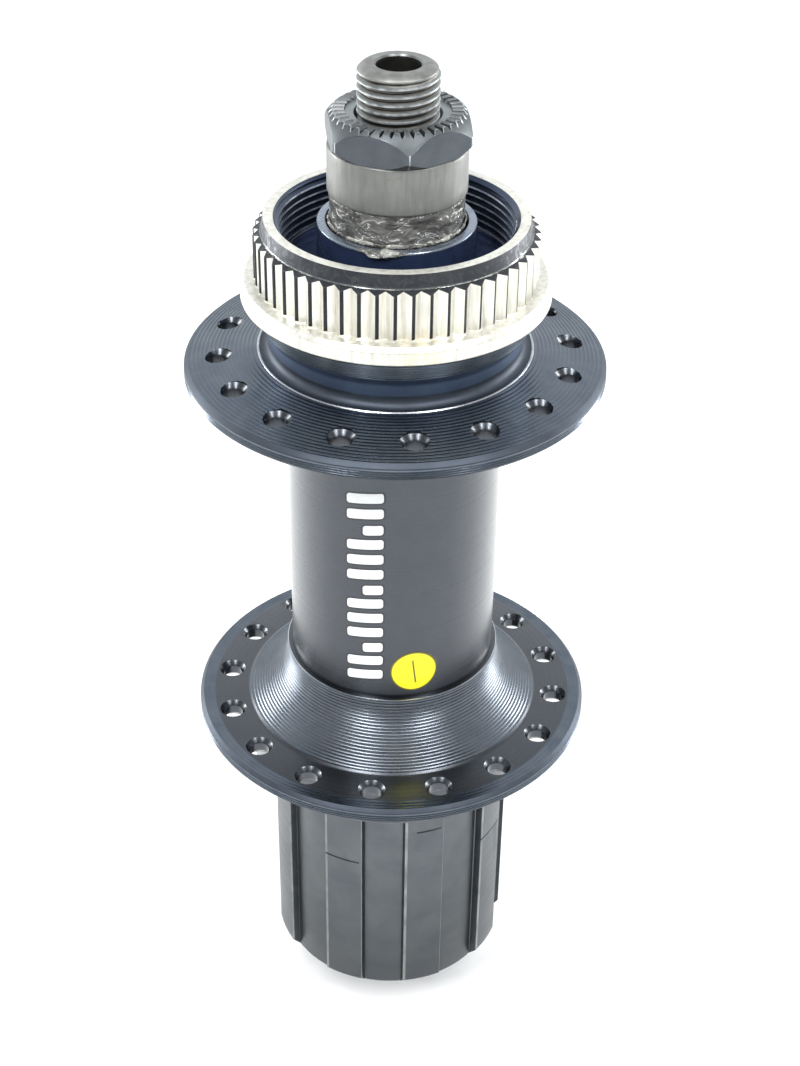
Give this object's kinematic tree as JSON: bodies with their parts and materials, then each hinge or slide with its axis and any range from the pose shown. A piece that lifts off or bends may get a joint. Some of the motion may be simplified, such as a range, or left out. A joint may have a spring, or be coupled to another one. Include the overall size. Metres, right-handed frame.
{
  "type": "bicycle rear hub",
  "caption": "Rear wheel hub with a hollow axle, two spoke flanges, a splined disc rotor mount on the left and a splined freehub body with pawls on the right.",
  "frame": {"origin": "middle of the axle, on its centre line", "axes": "+Z along the axle towards the rotor (left) side; +X and +Y across it"},
  "size_m": [0.0548, 0.0548, 0.146],
  "materials": {
    "axle_steel": "bright turned steel with rolled threads",
    "black_oxide": "blue-grey oxide finish, serrated face",
    "spacer_steel": "light satin steel",
    "cone_steel": "hardened dark steel, ground races",
    "seal_rubber": "greasy black rubber",
    "bearing_steel": "polished bearing balls",
    "retainer_steel": "stamped steel, pale bronze tint",
    "shell_anodised": "black anodised, bare where machined for the rotor",
    "cup_steel": "ground race steel",
    "cap_blue_black": "blue-black dust cap",
    "freehub_steel": "satin dark grey steel",
    "core_steel": "hardened steel with a phosphate finish",
    "bolt_steel": "plain steel",
    "pawl_steel": "hardened steel",
    "spring_steel": "drawn wire",
    "label_yellow": "yellow printed film"
  },
  "bodies": {
    "axle_set": {"axle": "axle_steel", "left_locknut": "black_oxide", "left_spacer": "spacer_steel", "left_cone": "cone_steel", "left_cone_seal": "seal_rubber", "right_cone": "cone_steel", "right_cone_seal": "seal_rubber", "right_lock_washer": "spacer_steel", "right_locknut": "black_oxide"},
    "hub_shell": {"hub_shell": "shell_anodised", "left_bearing_cup": "cup_steel", "left_dust_cap": "cap_blue_black", "freehub_core": "core_steel", "freehub_end_cup": "cup_steel", "freehub_fixing_bolt": "bolt_steel", "freehub_shims": "bolt_steel", "shell_seal": "seal_rubber", "right_dust_cap": "cap_blue_black", "pawl_springs": "spring_steel", "inspection_label": "label_yellow"},
    "freehub_body": {"freehub_body": "freehub_steel"},
    "left_ball_row": {"left_balls": "bearing_steel", "left_ball_retainer": "retainer_steel"},
    "right_ball_row": {"right_balls": "bearing_steel", "right_ball_retainer": "retainer_steel"},
    "freehub_inboard_row": {"freehub_inboard_balls": "bearing_steel"},
    "freehub_outboard_row": {"freehub_outboard_balls": "bearing_steel"},
    "pawl_a": {"pawl_a": "pawl_steel"},
    "pawl_b": {"pawl_b": "pawl_steel"}
  },
  "joints": [
    {"name": "shell_spin", "type": "hinge", "parent": "axle_set", "child": "hub_shell", "pos_m": [0, 0, 0], "axis": [0, 0, 1], "continuous": true},
    {"name": "freehub_spin", "type": "hinge", "parent": "hub_shell", "child": "freehub_body", "pos_m": [0, 0, 0], "axis": [0, 0, 1], "continuous": true},
    {"name": "left_balls_orbit", "type": "hinge", "parent": "axle_set", "child": "left_ball_row", "pos_m": [0, 0, 0.042], "axis": [0, 0, 1], "continuous": true},
    {"name": "right_balls_orbit", "type": "hinge", "parent": "axle_set", "child": "right_ball_row", "pos_m": [0, 0, -0.058], "axis": [0, 0, 1], "continuous": true},
    {"name": "freehub_inboard_orbit", "type": "hinge", "parent": "hub_shell", "child": "freehub_inboard_row", "pos_m": [0, 0, -0.031], "axis": [0, 0, 1], "continuous": true},
    {"name": "freehub_outboard_orbit", "type": "hinge", "parent": "hub_shell", "child": "freehub_outboard_row", "pos_m": [0, 0, -0.051], "axis": [0, 0, 1], "continuous": true},
    {"name": "pawl_a_lift", "type": "hinge", "parent": "hub_shell", "child": "pawl_a", "pos_m": [0.0099, 0, -0.0415], "axis": [0, 0, 1], "range_deg": [0, 10], "stiffness_Nm_per_rad": 0.0005, "springref_deg": 10},
    {"name": "pawl_b_lift", "type": "hinge", "parent": "hub_shell", "child": "pawl_b", "pos_m": [-0.0099, 0, -0.0415], "axis": [0, 0, 1], "range_deg": [0, 10], "stiffness_Nm_per_rad": 0.0005, "springref_deg": 10}
  ],
  "couplings": [
    {"joint": "left_balls_orbit", "follows": "shell_spin", "ratio": 0.6123},
    {"joint": "right_balls_orbit", "follows": "shell_spin", "ratio": 0.6123},
    {"joint": "freehub_inboard_orbit", "follows": "freehub_spin", "ratio": 0.5435},
    {"joint": "freehub_outboard_orbit", "follows": "freehub_spin", "ratio": 0.5435}
  ]
}
